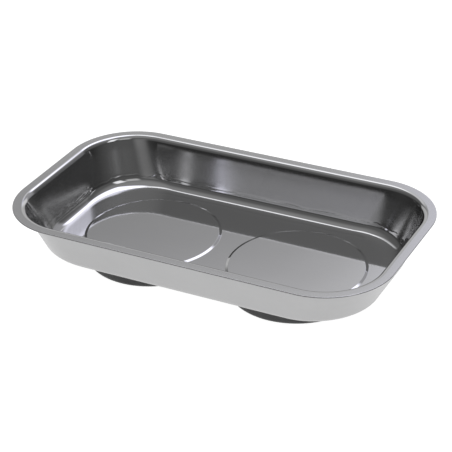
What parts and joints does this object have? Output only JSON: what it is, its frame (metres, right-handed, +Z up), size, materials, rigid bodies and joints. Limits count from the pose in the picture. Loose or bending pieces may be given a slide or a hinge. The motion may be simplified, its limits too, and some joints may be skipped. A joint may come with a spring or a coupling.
{
  "type": "magnetic parts tray",
  "caption": "Shallow rounded-corner pressed steel tray on rubber-covered ring magnets, which hold small steel parts in the dish and the dish to a steel surface.",
  "frame": {"origin": "middle of the surface that the rubber boots stand on, under the centre of the dish", "axes": "+X along the length of the dish, +Y across it, +Z up out of the dish"},
  "size_m": [0.24, 0.14, 0.0431],
  "materials": {
    "stainless_sheet": "bright rolled sheet, satin outside",
    "black_rubber": "matt moulded",
    "ferrite": "ground sintered ceramic",
    "plated_steel": "bright zinc plated"
  },
  "bodies": {
    "root": {"tray": "stainless_sheet", "left_weld_stud": "plated_steel", "left_magnet": "ferrite", "left_boot": "black_rubber", "left_clamp_cup": "plated_steel", "left_lock_washer": "plated_steel", "left_nut": "plated_steel", "right_weld_stud": "plated_steel", "right_magnet": "ferrite", "right_boot": "black_rubber", "right_clamp_cup": "plated_steel", "right_lock_washer": "plated_steel", "right_nut": "plated_steel"}
  },
  "joints": []
}
